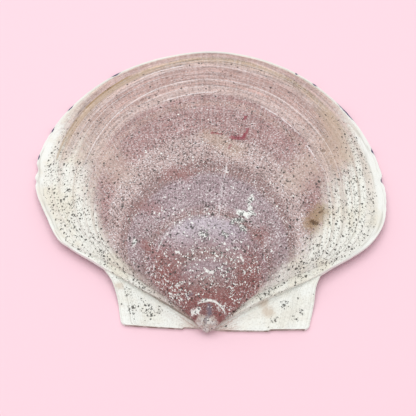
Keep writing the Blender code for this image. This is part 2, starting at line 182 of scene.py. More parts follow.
@dataclass
class Growth:
    """How the valve's surfaces follow from its rim. Lengths are in metres."""

    coil: float = 0.43
    inner_tip_limit: float = 1.0
    tuck: float = 0.0025
    tuck_range: tuple[float, float, float] = (0.70, 0.86, 0.91)
    fullness: float = 0.0034
    fullness_lean: float = 1.2
    ear_flatness: float = 0.35
    rim_thickness: float = 0.0018
    hollow_centre: tuple[float, float] = (0.0, 0.060)
    hollow_scale: float = 0.978
    dome_thickening: float = 0.0007
    crease_fillet: float = 0.008
    crease_bearing: float = np.radians(62.0)
    lift: float = 0.004
    lift_range: tuple[float, float, float, float] = (0.005, 0.028, 0.035, 0.110)
    beak_reach: float = 0.0020
    beak_extent: float = 0.060
    beak_tip_height: float = 0.0022
    crease_step: float = 0.0008
    crease_step_width: float = 0.10
    hinge_bow: float = 0.0012
    hinge_half_length: float = 0.042
    hinge_step: tuple[float, float] = (0.027, 0.0007)
    hinge_nick: tuple[float, float, float] = (-0.011, 0.0006, 0.006)
    hinge_step_length: float = 0.0009
    hinge_fade: float = 0.003
    plate_width: float = 0.0045
    plate_slope: float = 0.0050
    pit: tuple[float, float, float, float] = (0.0014, 0.0042, 0.0036, 0.0012)
    ledges: Knots = (
        (0.100, 0.00030), (0.205, 0.00030), (0.335, 0.00040), (0.490, 0.00060), (0.610, 0.00040),
        (0.700, 0.00050), (0.765, 0.00040), (0.835, 0.00060), (0.895, 0.00040), (0.930, 0.00045),
        (0.962, 0.00050),
    )
    ledge_foot: float = 0.005
    ledge_fade: tuple[float, float] = (0.78, 0.93)
    ear_ledges: float = 0.25
    side_lag: float = 0.22
    side_lag_easing: float = 0.55
    side_lag_range: tuple[float, float] = (0.30, 0.80)
    last_band: float = 0.955
    swell: float = 0.00035
    swell_lengths: tuple[float, float] = (0.068, 0.055)
    swell_shift: tuple[float, float] = (0.6, 1.9)
    fine_line: float = 0.00006
    first_stage: float = 0.006
    row_power: float = 0.72
    tip_guesses: int = 40

    def stages(self, rows: int) -> Array:
        """Growth stages of the rows: both edges of each ledge, and even steps, closer near the rim."""
        edges = [stage for stage, _ in self.ledges]
        edges += [stage + self.ledge_foot for stage, _ in self.ledges]
        first = self.first_stage**self.row_power
        even = np.linspace(first, 1.0, rows - len(edges)) ** (1.0 / self.row_power)
        return np.unique(np.concatenate([even, edges]))

    def scale(self, stages: Array, columns: Columns) -> Array:
        """The scale of each growth line at each column: its stage, less the lag of the sides."""
        starts = ease((stages - self.side_lag_range[0]) / (self.side_lag_range[1] - self.side_lag_range[0]))
        ends = ease((stages - self.last_band) / (1.0 - self.last_band))
        lag = self.side_lag * starts * (1.0 - ends)
        spread = columns.aside**2 * (1.0 - self.side_lag_easing * columns.aside**6)
        return stages[:, None] - lag[:, None] * spread[None, :]

    def rim_lift(self, y: Array) -> Array:
        """The height of the rim's lower edge: 0 in front and at the hinge, lifted at the shoulders."""
        rises, full, falls, ends = self.lift_range
        return self.lift * ease((y - rises) / (full - rises)) * (1.0 - ease((y - falls) / (ends - falls)))

    def side_fullness(self, scale: Array, aside: Array) -> Array:
        """Extra height to each side of the middle, most at two thirds of the way out."""
        bulge = self.fullness * 6.75 * scale**2 * (1.0 - scale)
        return bulge * np.sin(np.pi * aside**self.fullness_lean) ** 2

    def relief(self, stages: Array, grid: Array, scale: Array, columns: Columns) -> Array:
        """The height of ledges, swells and fine growth lines over the even surface.

        Between two ledges the surface climbs with the square of the distance to the outer lip, then
        drops at its foot. Fine lines are a random line over the stages, shifted a little round the disc.
        """
        height = np.zeros(len(stages))
        foot = 0.0
        for stage, lip in self.ledges:
            climb = (stages - foot) / (stage - foot)
            height = np.where((climb >= 0.0) & (climb <= 1.0), lip * climb**2, height)
            foot = stage + self.ledge_foot
        fade = 1.0 - ease((columns.aside - self.ledge_fade[0]) / (self.ledge_fade[1] - self.ledge_fade[0]))
        relief = height[:, None] * np.where(columns.is_disc, fade, self.ear_ledges)
        along = np.sin(2.0 * np.pi * grid[..., 0] / self.swell_lengths[0] + self.swell_shift[0])
        across = np.sin(2.0 * np.pi * grid[..., 1] / self.swell_lengths[1] + self.swell_shift[1])
        swells = self.swell * along * across * ease(8.0 * (1.0 - scale)) * ease(5.0 * scale)
        relief += swells * columns.is_disc
        shifted = stages[:, None] + 0.004 * wander(columns.around, 23, 11)[None, :]
        fine = wander(shifted, 92, 12) * ease((shifted - 0.2) / 0.3) * ease((1.0 - scale) / 0.02)
        strength = 0.6 + 0.4 * wander(columns.around, 37, 13)
        return relief + self.fine_line * fine * np.where(columns.is_disc, strength * fade, 0.5)[None, :]

    def hinge_shift(self, grid: Array) -> Array:
        """How far the hinge edge leaves its straight line: a bow, a step and a nick."""
        x = grid[..., 0]
        bow = -self.hinge_bow * (1.0 - np.clip(x / self.hinge_half_length, -1.0, 1.0) ** 2)
        step = self.hinge_step[1] * ease((x - self.hinge_step[0]) / self.hinge_step_length)
        place, depth, end = self.hinge_nick
        nick = depth * ease((x - place) / self.hinge_step_length) * (1.0 - ease(x / end))
        return (bow + step + nick) * np.exp(-np.maximum(grid[..., 1], 0.0) / self.hinge_fade)

    def outside(self, stages: Array, columns: Columns, rim: Rim) -> tuple[Array, Array]:
        """The outside as growth lines by columns.

        A line of scale s is the rim times s, tipped about the hinge by the coil times -log s: x = s X,
        y = s Y cos(tip), z = s Y sin(tip), flatter on the ears. The rim's thickness and lift are added.

        Args:
            stages: the growth stage of each row.
            columns: the rim's columns.
            rim: the rim, for its chips.

        Returns:
            The grid of points, and the scale at each.
        """
        aside = columns.aside
        scale = self.scale(stages, columns)
        tip = -self.coil * np.log(scale)
        x = scale * columns.points[:, 0]
        y = scale * columns.points[:, 1] * np.cos(tip)
        z = scale * columns.points[:, 1] * np.sin(tip) * np.where(columns.is_disc, 1.0, self.ear_flatness)
        z += self.side_fullness(scale, aside)
        near_crease = np.where(columns.is_disc, 1.0 - ease((1.0 - aside) / self.crease_step_width), 0.0)
        z += self.crease_step * near_crease * ease((scale - 0.1) / 0.3)
        z += self.rim_thickness + self.rim_lift(columns.points[:, 1]) * scale**3
        y -= np.where(columns.is_disc, self.beak_reach, 0.0) * np.exp(-((scale / self.beak_extent) ** 2))
        grid = np.stack([x, y, z], axis=2)
        starts, full, ends = self.tuck_range
        tuck = ease((aside - starts) / (full - starts)) * np.clip((1.0 - aside) / (1.0 - ends), 0.0, 1.0)
        drawn_in = self.tuck * 4.0 * scale * (1.0 - scale) * tuck * columns.is_disc
        drawn_in += rim.cut_back(columns) * scale**30
        grid[..., :2] += drawn_in[..., None] * columns.inward()
        normal = np.cross(np.gradient(grid, axis=1), np.gradient(grid, axis=0))
        normal /= np.maximum(np.linalg.norm(normal, axis=2, keepdims=True), 1e-12)
        normal = np.where(normal[..., 2:] < 0.0, -normal, normal)
        grid += normal * self.relief(stages, grid, scale, columns)[..., None]
        grid[..., 1] += self.hinge_shift(grid)
        return grid, scale

    def inner_edge(self, columns: Columns) -> Array:
        """The rim's inner edge: the rim drawn in towards the middle of the hollow."""
        centre = np.array(self.hollow_centre)
        edge = centre + self.hollow_scale * (columns.points - centre)
        edge[[0, -1], 1] = 0.0
        return edge

    def inner_height(self, x: Array, y: Array, edge: Array, notches: tuple[int, int]) -> Array:
        """The inside's height over plan points, with the plate and the pit along the hinge.

        The growth scale over a point is found by repeated guesses: untip the point, and compare its
        distance from the beak with that of the inner edge in the same direction.

        Args:
            x: plan positions along the hinge.
            y: plan positions away from the hinge.
            edge: the inner edge's points.
            notches: the columns of the left and the right notch.

        Returns:
            The heights.
        """
        bearing = np.arctan2(edge[:, 0], edge[:, 1])
        reach = np.linalg.norm(edge, axis=1)
        y = np.maximum(y, 1e-6)
        tip = np.zeros(x.shape)
        for _ in range(self.tip_guesses):
            flat_y = y / np.cos(tip)
            scale = np.hypot(x, flat_y) / np.interp(np.arctan2(x, flat_y), bearing, reach)
            scale = np.clip(scale, 0.001, 1.0)
            tip = 0.5 * tip + 0.5 * np.minimum(-self.coil * np.log(scale), self.inner_tip_limit)
        crease = np.where((x < 0.0)[..., None], edge[notches[0]], edge[notches[1]])
        crease = crease / np.linalg.norm(crease, axis=-1, keepdims=True)
        hollow = ease((np.abs(crease[..., 0]) * y - crease[..., 1] * np.abs(x)) / self.crease_fillet)
        aside = np.clip(np.abs(np.arctan2(x, y)) / self.crease_bearing, 0.0, 1.0)
        z = y * np.tan(tip) * (self.ear_flatness + (1.0 - self.ear_flatness) * hollow)
        z += hollow * (self.side_fullness(scale, aside) - self.dome_thickening * ease((1.0 - scale) / 0.3))
        z += self.rim_lift(flat_y / scale) * scale**3
        z = np.maximum(z, 0.0) * ease((y - self.plate_width) / self.plate_slope)
        depth, length, half_width, wall = self.pit
        opening = half_width * np.clip(y / length, 0.15, 1.0)
        pit = (1.0 - ease(np.abs(x) / opening)) * ease(y / wall) * (1.0 - ease((y - length) / wall))
        return z + depth * pit


class Paint(Enum):
    """The shell's colours, as the eye sees them (sRGB)."""

    CHALK = "EFF1EC"
    FROST = "E9E2E3"
    CREAM = "E4DDCA"
    SAND = "C2B2A8"
    TAN = "BDA48C"
    PALE_TAN = "CDB9AB"
    OCHRE = "9C8059"
    PALE_PINK = "CDB2AB"
    SHELL_PINK = "BD9A92"
    PALE_ROSE = "C0A4A0"
    DUSTY_ROSE = "AC8482"
    MAUVE = "A68D94"
    LAVENDER = "B6A6B3"
    PLUM = "997673"
    RED_BROWN = "915955"
    UMBER_PINK = "855958"
    UMBER = "5E4226"
    CRIMSON = "8A2038"
    SMOKE = "776C76"
    SOOT = "523D3A"
    PIT = "38342F"
    GREY = "BCBAB0"
    NAVY = "2B2D58"
    PEARL = "EDE7E0"
    BLUSH = "DCC4C2"
    HINGE_BROWN = "6E4E38"

    def linear(self) -> tuple[float, float, float, float]:
        """The colour as linear red, green, blue and alpha."""
        parts = np.array([int(self.value[i : i + 2], 16) for i in (0, 2, 4)]) / 255.0
        red, green, blue = np.where(parts <= 0.04045, parts / 12.92, ((parts + 0.055) / 1.055) ** 2.4)
        return float(red), float(green), float(blue), 1.0


class Socket:
    """An output of a shader node, with arithmetic."""

    def __init__(self, graph: "Graph", node: bpy.types.Node, name: str | int) -> None:
        """Wraps one output of a node."""
        self.graph = graph
        self.node = node
        self.link = node.outputs[name]

    def other(self, name: str | int) -> "Socket":
        """Another output of the same node."""
        return Socket(self.graph, self.node, name)

    def __add__(self, other: Value) -> "Socket":
        """This plus other."""
        return self.graph.maths("ADD", self, other)

    def __radd__(self, other: float) -> "Socket":
        """Other plus this."""
        return self.graph.maths("ADD", other, self)

    def __sub__(self, other: Value) -> "Socket":
        """This minus other."""
        return self.graph.maths("SUBTRACT", self, other)

    def __rsub__(self, other: float) -> "Socket":
        """Other minus this."""
        return self.graph.maths("SUBTRACT", other, self)

    def __mul__(self, other: Value) -> "Socket":
        """This times other."""
        return self.graph.maths("MULTIPLY", self, other)

    def __rmul__(self, other: float) -> "Socket":
        """Other times this."""
        return self.graph.maths("MULTIPLY", other, self)

    def __abs__(self) -> "Socket":
        """The size of this."""
        return self.graph.maths("ABSOLUTE", self)


class Graph:
    """Builds a material's nodes."""

    def __init__(self, name: str) -> None:
        """Starts a material with its Principled surface."""
        self.material = bpy.data.materials.new(name)
        self.material.use_nodes = True
        self.tree = self.material.node_tree
        self.surface = self.tree.nodes["Principled BSDF"]

    def node(
        self,
        kind: str,
        settings: dict[str, object] | None = None,
        sockets: dict[str | int, object] | None = None,
        output: str | int = 0,
    ) -> Socket:
        """Adds one node.

        Args:
            kind: the node's type, without its leading ShaderNode.
            settings: its properties; "stops" are a ramp's (position, colour or value) pairs.
            sockets: values or links of its inputs, by name or number.
            output: the output to return.

        Returns:
            That output.
        """
        node = self.tree.nodes.new("ShaderNode" + kind)
        for name, value in (settings or {}).items():
            if name == "stops":
                self.set_stops(node.color_ramp, value)
            else:
                setattr(node, name, value)
        for name, value in (sockets or {}).items():
            self.feed(node.inputs[name], value)
        return Socket(self, node, output)

    @staticmethod
    def set_stops(ramp: bpy.types.ColorRamp, stops: tuple[tuple[float, object], ...]) -> None:
        """Gives a ramp its stops, each a paint or a grey value."""
        for index, (position, value) in enumerate(stops):
            stop = ramp.elements[index] if index < 2 else ramp.elements.new(position)
            stop.position = position
            stop.color = value.linear() if isinstance(value, Paint) else (value, value, value, 1.0)

    def feed(self, entry: bpy.types.NodeSocket, value: object) -> None:
        """Links or sets one input."""
        if isinstance(value, Socket):
            self.tree.links.new(value.link, entry)
        elif isinstance(value, Paint):
            entry.default_value = value.linear()
        else:
            entry.default_value = value

    def maths(self, operation: str, *values: Value) -> Socket:
        """A Math node on numbers."""
        return self.node("Math", {"operation": operation}, dict(enumerate(values)))

    def larger(self, first: Value, second: Value) -> Socket:
        """The larger of two numbers."""
        return self.maths("MAXIMUM", first, second)

    def smooth(self, value: Socket, low: Value, high: Value) -> Socket:
        """A smooth step: 0 up to low, 1 from high on."""
        settings = {"interpolation_type": "SMOOTHSTEP"}
        return self.node("MapRange", settings, {"Value": value, "From Min": low, "From Max": high})

    def fade(self, value: Socket, near: float, far: float, strength: float = 1.0) -> Socket:
        """The opposite step: the strength up to near, 0 from far on."""
        settings = {"interpolation_type": "SMOOTHSTEP"}
        sockets = {"Value": value, "From Min": near, "From Max": far, "To Min": strength, "To Max": 0.0}
        return self.node("MapRange", settings, sockets)

    def ramp(self, value: Socket, *stops: tuple[float, object]) -> Socket:
        """A ramp of colours or grey values over a number."""
        return self.node("ValToRGB", {"stops": stops}, {"Fac": value})

    def mix(self, factor: Value, first: object, second: object, blend: str = "MIX") -> Socket:
        """Mixes two colours."""
        settings = {"data_type": "RGBA", "blend_type": blend}
        return self.node("Mix", settings, {0: factor, 6: first, 7: second}, output=2)

    def vector(self, operation: str, *values: object, output: str | int = 0) -> Socket:
        """A VectorMath node. Operations that give a number have it on the output "Value"."""
        return self.node("VectorMath", {"operation": operation}, dict(enumerate(values)), output)

    def distance(self, first: object, second: object) -> Socket:
        """The distance between two places."""
        return self.vector("DISTANCE", first, second, output="Value")

    def scaled(self, vector: Socket | Vector, factor: Value) -> Socket:
        """A vector times a number."""
        return self.node("VectorMath", {"operation": "SCALE"}, {0: vector, "Scale": factor})

    def moved(self, vector: Socket, by: tuple[float, float, float]) -> Socket:
        """A vector moved by a fixed one."""
        return self.vector("ADD", vector, by)

    def point(self, x: Value, y: Value, z: Value = 0.0) -> Socket:
        """A vector from three numbers."""
        return self.node("CombineXYZ", None, {0: x, 1: y, 2: z})

    def noise(self, at: Socket, size: float, detail: float = 2.0, roughness: float = 0.5) -> Socket:
        """Cloudy noise around 0.5, with that many features to one unit."""
        sockets = {"Vector": at, "Scale": size, "Detail": detail, "Roughness": roughness}
        return self.node("TexNoise", None, sockets)

    def specks(self, at: Socket, per_unit: float, share: Value, radius: float, shift: float) -> Socket:
        """Round specks in some cells of a random grid.

        Args:
            at: where to look.
            per_unit: cells to one unit.
            share: the part of the cells that hold a speck.
            radius: the largest speck's radius, in cells.
            shift: moves the grid, so that two kinds of speck don't coincide.

        Returns:
            1 inside a speck, 0 outside.
        """
        moved = self.moved(at, (shift, shift * 1.7, shift * 0.3))
        cell = self.node("TexVoronoi", None, {"Vector": moved, "Scale": per_unit}, output="Distance")
        random = self.node("SeparateColor", None, {0: cell.other("Color")}, output="Red")
        held = self.maths("LESS_THAN", random, share)
        size = radius * (0.45 + 0.55 * random.other("Green"))
        return held * (1.0 - self.smooth(cell, size * 0.6, size))


@dataclass(frozen=True)
class Skin:
    """Where a point of the surface lies, and the grain there, as sockets."""

    graph: Graph
    locate: Locate
    place: Socket
    plan: Socket
    around: Socket
    stage: Socket
    scale: Socket
    ear: Socket
    inside: Socket
    ragged: Socket
    grain: Socket
    grime: Socket
    warped: Socket
    rough: Socket
    turned: Socket
    bent: Socket
    past: Socket

    @classmethod
    def read(cls, graph: Graph, locate: Locate) -> "Skin":
        """Reads the mesh's own attributes, the place in millimetres and the noise that all finishes share."""
        place = graph.scaled(graph.node("TexCoord", None, None, output="Object"), MM)
        names = ("around", "stage", "scale", "ear", "inside")
        read = [graph.node("Attribute", {"attribute_name": name}, None, output="Fac") for name in names]
        ragged = graph.noise(place, 0.55, 3.0, 0.6) - 0.5
        patchy = (graph.noise(place, 0.11, 2.0) - 0.5) * 0.14
        grain = graph.noise(place, 1.45, 2.0, 0.75) + patchy
        grime = graph.noise(graph.moved(place, (40.0, 7.0, 3.0)), 1.25, 2.0, 0.75) + patchy
        bend = graph.node("TexNoise", None, {"Vector": place, "Scale": 0.9, "Detail": 1.0}, output="Color")
        warped = graph.vector("MULTIPLY_ADD", bend, (1.6, 1.6, 1.6), place)
        plan = graph.vector("MULTIPLY", warped, (1.0, 1.0, 0.0))
        plan = graph.moved(plan, (-0.8, -0.8, 0.0))
        rough = ragged + (grain - 0.5) * 0.8
        turned = read[0] + ragged * 0.02
        bent = read[1] + ragged * 0.004
        past = graph.larger(0.42 - turned, 0.0)
        return cls(graph, locate, place, plan, *read, ragged, grain, grime, warped, rough, turned, bent, past)


@dataclass(frozen=True)
class Streak:
    """A mark on the disc between two places, each (part of the way round, growth stage).

    Its half width is in millimetres, and noise moves its edge in and out.
    """

    start: Spot
    end: Spot
    half_width: float
    strength: float = 1.0
    raggedness: float = 1.5
    softness: float = 0.4

    def mask(self, skin: Skin) -> Socket:
        """The strength on the mark, 0 off it: the plan distance to the line between its ends."""
        graph = skin.graph
        start, end = Vector(skin.locate(self.start)), Vector(skin.locate(self.end))
        run = end - start
        from_start = graph.vector("SUBTRACT", skin.plan, start)
        along = run / max(run.length_squared, 1e-9)
        part = graph.vector("DOT_PRODUCT", from_start, along, output="Value")
        part = graph.maths("MINIMUM", graph.larger(part, 0.0), 1.0)
        away = graph.distance(from_start, graph.scaled(run, part))
        away = graph.maths("MULTIPLY_ADD", skin.rough, self.raggedness * self.half_width, away)
        near = self.half_width * (1.0 - self.softness)
        far = self.half_width * (1.0 + self.softness)
        return graph.fade(away, near, far, self.strength)


def streaks(*rows: tuple[float, ...]) -> tuple[Streak, ...]:
    """Streaks from rows of numbers.

    Args:
        rows: for each, the places of its start and end, then the other values of a Streak in their order.

    Returns:
        The streaks.
    """
    return tuple(Streak(row[:2], row[2:4], *row[4:]) for row in rows)


@dataclass(frozen=True)
class GrowthLine:
    """A mark along one growth line.

    Its stage falls off towards the left by drop times the distance past two fifths of the way round.
    """

    stage: float
    half_width: float
    middle: float
    reach: float
    strength: float
    drop: float = 0.0

    def mask(self, skin: Skin) -> Socket:
        """The strength on the line, fading out at its width and at its reach to both sides of its middle."""
        graph = skin.graph
        away = abs(graph.maths("MULTIPLY_ADD", skin.past, self.drop, skin.bent) - self.stage)
        near = graph.fade(away, self.half_width * 0.4, self.half_width * 1.5)
        return near * graph.fade(abs(skin.turned - self.middle), self.reach * 0.7, self.reach, self.strength)


@dataclass(frozen=True)
class EarSpot:
    """A cluster of specks or a stain on an ear: its place in the frame and half width, in millimetres."""

    x: float
    y: float
    half_width: float

    def mask(self, skin: Skin) -> Socket:
        """1 in the middle, fading to 0 at the half width."""
        graph = skin.graph
        away = graph.distance(skin.plan, (self.x, self.y, 0.0))
        return graph.fade(away, 0.3 * self.half_width, self.half_width)


@dataclass(frozen=True)
class ShellFinish:
    """Chalky worn shell: mauve tongue, white sides and ears, growth lines, threads, borings and marks."""

    threads: float = 124.0
    outside_roughness: float = 0.62
    inside_roughness: float = 0.30
    tongue_left: Knots = (
        (0.0, 0.0), (0.38, 0.0), (0.46, 0.03), (0.52, 0.08), (0.58, 0.12), (0.65, 0.165), (0.71, 0.210),
        (0.80, 0.225), (0.88, 0.255), (0.935, 0.205), (0.965, 0.250), (1.0, 0.310),
    )
    tongue_right: Knots = (
        (0.0, 1.0), (0.22, 1.0), (0.28, 0.885), (0.45, 0.865), (0.60, 0.855), (0.67, 0.830), (0.75, 0.795),
        (0.82, 0.790), (0.89, 0.772), (0.935, 0.765), (0.965, 0.740), (1.0, 0.690),
    )
    rings: tuple[tuple[float, Paint], ...] = (
        (0.050, Paint.UMBER_PINK), (0.110, Paint.RED_BROWN), (0.140, Paint.PLUM), (0.185, Paint.MAUVE),
        (0.215, Paint.PLUM), (0.250, Paint.MAUVE), (0.290, Paint.LAVENDER), (0.308, Paint.LAVENDER),
        (0.328, Paint.PLUM), (0.360, Paint.MAUVE), (0.440, Paint.MAUVE), (0.458, Paint.PLUM),
        (0.486, Paint.PLUM), (0.510, Paint.PALE_ROSE), (0.582, Paint.PALE_ROSE), (0.602, Paint.DUSTY_ROSE),
        (0.660, Paint.DUSTY_ROSE), (0.695, Paint.DUSTY_ROSE), (0.725, Paint.SHELL_PINK),
        (0.748, Paint.DUSTY_ROSE), (0.770, Paint.PALE_PINK), (0.798, Paint.PALE_PINK),
        (0.816, Paint.SHELL_PINK), (0.832, Paint.PALE_PINK), (0.847, Paint.SHELL_PINK),
        (0.890, Paint.SHELL_PINK), (0.917, Paint.PALE_PINK), (0.952, Paint.TAN), (0.966, Paint.PALE_PINK),
        (0.984, Paint.SHELL_PINK), (0.995, Paint.CREAM),
    )
    grain_strength: Knots = (
        (0.08, 0.30), (0.24, 0.45), (0.32, 0.85), (0.45, 0.75), (0.52, 0.95), (0.58, 0.95), (0.63, 0.72),
        (0.74, 0.66), (0.82, 0.48), (1.0, 0.34),
    )
    line_strength: Knots = ((0.20, 0.10), (0.50, 0.22), (0.70, 0.45), (0.82, 0.85), (1.0, 1.0))
    pale_lines: tuple[GrowthLine, ...] = (
        GrowthLine(0.834, 0.0022, 0.52, 0.33, 0.75, 0.17),
        GrowthLine(0.802, 0.0016, 0.48, 0.12, 0.55, 0.17),
        GrowthLine(0.771, 0.0026, 0.46, 0.05, 0.90, 0.10),
        GrowthLine(0.757, 0.0022, 0.63, 0.05, 0.80),
        GrowthLine(0.747, 0.0026, 0.71, 0.02, 1.00),
        GrowthLine(0.910, 0.0018, 0.40, 0.22, 0.50, 0.05),
        GrowthLine(0.922, 0.0018, 0.43, 0.035, 0.95),
        GrowthLine(0.883, 0.0015, 0.34, 0.13, 0.60, 0.05),
        GrowthLine(0.857, 0.0012, 0.52, 0.26, 0.35),
        GrowthLine(0.873, 0.0010, 0.58, 0.20, 0.35),
        GrowthLine(0.943, 0.0012, 0.45, 0.20, 0.40),
        GrowthLine(0.700, 0.0012, 0.42, 0.12, 0.30),
        GrowthLine(0.325, 0.0030, 0.27, 0.09, 0.60, 0.18),
    )
    fan_centre: tuple[float, float, float] = (-1.8, 79.0, 0.0)
    scar_centre: tuple[float, float, float] = (-12.0, -8.0, 20.0)
    scar_radii: tuple[float, float, float] = (17.0, 18.5, 20.5)
    marks: tuple[tuple[Paint, tuple[Streak | GrowthLine, ...]], ...] = (
        (Paint.TAN, (
            GrowthLine(0.943, 0.010, 0.33, 0.10, 0.60),
            *streaks(
                (0.69, 0.930, 0.76, 0.905, 4.0, 0.55, 2.0, 0.9),
                (0.72, 0.870, 0.75, 0.830, 4.0, 0.40, 2.0, 0.9),
                (0.500, 0.585, 0.560, 0.545, 4.0, 0.35, 2.0, 0.9),
            ),
        )),
        (Paint.PALE_TAN, (
            *streaks(
                (0.715, 0.600, 0.715, 0.690, 6.0, 0.50, 2.0, 0.9),
                (0.285, 0.620, 0.285, 0.710, 6.0, 0.40, 2.0, 0.9),
            ),
        )),
        (Paint.OCHRE, (
            GrowthLine(0.958, 0.0035, 0.25, 0.045, 0.55),
            GrowthLine(0.960, 0.0045, 0.34, 0.050, 0.80),
            *streaks((0.805, 0.700, 0.812, 0.620, 3.2, 0.70, 2.0, 0.9)),
        )),
        (Paint.FROST, (
            *streaks(
                (0.545, 0.490, 0.543, 0.440, 0.28, 0.70, 3.0, 0.8),
                (0.541, 0.425, 0.540, 0.380, 0.26, 0.60, 3.0, 0.8),
                (0.541, 0.365, 0.540, 0.315, 0.30, 0.65, 3.0, 0.8),
                (0.390, 0.300, 0.560, 0.295, 4.0, 0.14, 2.0, 0.9),
            ),
        )),
        (Paint.RED_BROWN, (
            *streaks(
                (0.400, 0.480, 0.440, 0.455, 3.0, 0.50, 3.0, 0.9),
                (0.300, 0.440, 0.330, 0.400, 2.6, 0.45, 3.0, 0.9),
                (0.235, 0.360, 0.250, 0.290, 1.6, 0.60, 3.0, 0.9),
                (0.720, 0.360, 0.700, 0.330, 2.4, 0.50, 3.0, 0.9),
            ),
        )),
        (Paint.CRIMSON, (
            *streaks(
                (0.566, 0.672, 0.568, 0.686, 0.7, 0.75), (0.574, 0.625, 0.576, 0.643, 0.6, 0.70),
                (0.550, 0.592, 0.572, 0.602, 1.0, 0.75, 4.5), (0.569, 0.600, 0.573, 0.618, 0.7, 0.80),
                (0.506, 0.595, 0.524, 0.594, 0.6, 0.60, 2.8), (0.544, 0.548, 0.547, 0.562, 0.5, 0.50),
            ),
        )),
        (Paint.UMBER, (
            *streaks(
                (0.809, 0.632, 0.814, 0.648, 1.0, 0.90, 3.4), (0.817, 0.658, 0.820, 0.666, 0.7, 0.75, 3.4),
                (0.805, 0.690, 0.808, 0.705, 0.6, 0.65, 3.4), (0.345, 0.960, 0.350, 0.963, 0.8, 0.60, 3.0),
                (0.722, 0.800, 0.724, 0.808, 0.7, 0.60, 3.0),
            ),
        )),
        (Paint.SMOKE, (
            *streaks(
                (0.530, 0.080, 0.560, 0.062, 1.0, 0.85, 2.0), (0.520, 0.052, 0.470, 0.046, 0.7, 0.60, 2.0),
                (0.290, 0.125, 0.345, 0.121, 0.6, 0.60, 2.0),
            ),
        )),
        (Paint.CHALK, (
            *streaks(
                (0.632, 0.425, 0.630, 0.392, 0.8, 0.85, 5.0), (0.636, 0.384, 0.655, 0.376, 0.9, 0.85, 5.0),
                (0.640, 0.364, 0.610, 0.350, 1.2, 0.95, 5.0), (0.622, 0.340, 0.598, 0.318, 0.9, 0.85, 5.0),
                (0.625, 0.322, 0.643, 0.316, 0.8, 0.80, 5.0), (0.470, 0.268, 0.488, 0.264, 0.9, 0.85, 5.0),
                (0.566, 0.278, 0.586, 0.274, 0.7, 0.80, 5.0), (0.200, 0.412, 0.212, 0.404, 0.8, 0.85, 5.0),
                (0.682, 0.244, 0.696, 0.242, 0.5, 0.80, 4.0), (0.728, 0.225, 0.742, 0.223, 0.4, 0.70, 4.0),
                (0.494, 0.168, 0.538, 0.165, 0.6, 0.75, 5.0), (0.250, 0.175, 0.300, 0.165, 0.5, 0.60, 5.0),
                (0.340, 0.246, 0.356, 0.242, 0.4, 0.80, 4.0), (0.260, 0.080, 0.350, 0.074, 0.9, 0.95, 3.0),
            ),
            GrowthLine(0.090, 0.0018, 0.45, 0.08, 0.75),
            GrowthLine(0.094, 0.0030, 0.62, 0.22, 0.95),
            *streaks((0.660, 0.086, 0.700, 0.082, 0.4, 0.60, 4.0)),
        )),
    )
    deep_pits: tuple[Streak, ...] = streaks(
        (0.634, 0.415, 0.630, 0.398, 0.9, 1.0, 4.0), (0.648, 0.376, 0.652, 0.372, 1.2, 1.0, 4.0),
        (0.618, 0.344, 0.596, 0.316, 1.3, 1.0, 4.0), (0.626, 0.328, 0.640, 0.316, 1.2, 1.0, 4.0),
        (0.474, 0.272, 0.486, 0.262, 1.4, 1.0, 4.0), (0.562, 0.276, 0.586, 0.272, 1.1, 1.0, 4.0),
        (0.200, 0.418, 0.206, 0.408, 0.8, 1.0, 4.0), (0.498, 0.350, 0.514, 0.345, 1.0, 1.0, 4.0),
        (0.430, 0.296, 0.440, 0.294, 0.7, 1.0, 4.0),
    )
    navy_edges: Knots = (
        (0.200, 0.006), (0.245, 0.007), (0.286, 0.008), (0.365, 0.010), (0.622, 0.003), (0.652, 0.005),
        (0.712, 0.022), (0.780, 0.007), (0.826, 0.006),
    )
    ear_specks: tuple[EarSpot, ...] = (
        EarSpot(-34.0, -61.3, 3.5), EarSpot(-31.4, -68.4, 3.5), EarSpot(-26.9, -66.3, 3.5),
        EarSpot(-25.1, -68.8, 5.0), EarSpot(-20.2, -68.8, 3.0), EarSpot(36.3, -63.8, 3.0),
        EarSpot(43.0, -66.7, 2.5), EarSpot(40.3, -70.0, 3.0), EarSpot(31.4, -70.8, 2.5),
    )
    ear_stains: tuple[EarSpot, ...] = (
        EarSpot(26.0, -63.4, 4.0), EarSpot(28.8, -67.4, 4.0), EarSpot(-38.2, -58.4, 3.0),
    )

    @staticmethod
    def all_of(skin: Skin, parts: tuple[Streak | GrowthLine | EarSpot, ...]) -> Socket:
        """The marks of one kind together: the larger of their masks at each point."""
        mask = parts[0].mask(skin)
        for part in parts[1:]:
            mask = skin.graph.larger(mask, part.mask(skin))
        return mask

    def tongue(self, skin: Skin, blur: Socket) -> Socket:
        """1 on the coloured middle of the disc, 0 on its white sides, dappled where they meet."""
        graph = skin.graph
        at = skin.stage + blur * 0.04
        dapple = blur * 0.05 + (skin.grain - 0.5) * 0.16 + skin.ragged * 0.08
        left = graph.smooth(skin.around + dapple - graph.ramp(at, *self.tongue_left), -0.055, 0.055)
        right = graph.smooth(graph.ramp(at, *self.tongue_right) - skin.around + dapple, -0.04, 0.04)
        return left * right

    def growth_noise(self, skin: Skin) -> tuple[Socket, Socket]:
        """Broad and fine growth lines: noise drawn out along the lines, about 0."""
        graph = skin.graph
        bend = skin.stage + skin.ragged * 0.0012
        broad = graph.noise(graph.point(skin.around * 2.2, bend * 34.0), 1.0, 2.0, 0.6)
        fine = graph.noise(graph.point(skin.around * 15.0, bend * 105.0), 1.0, 3.0, 0.7)
        return broad - 0.5, fine - 0.5

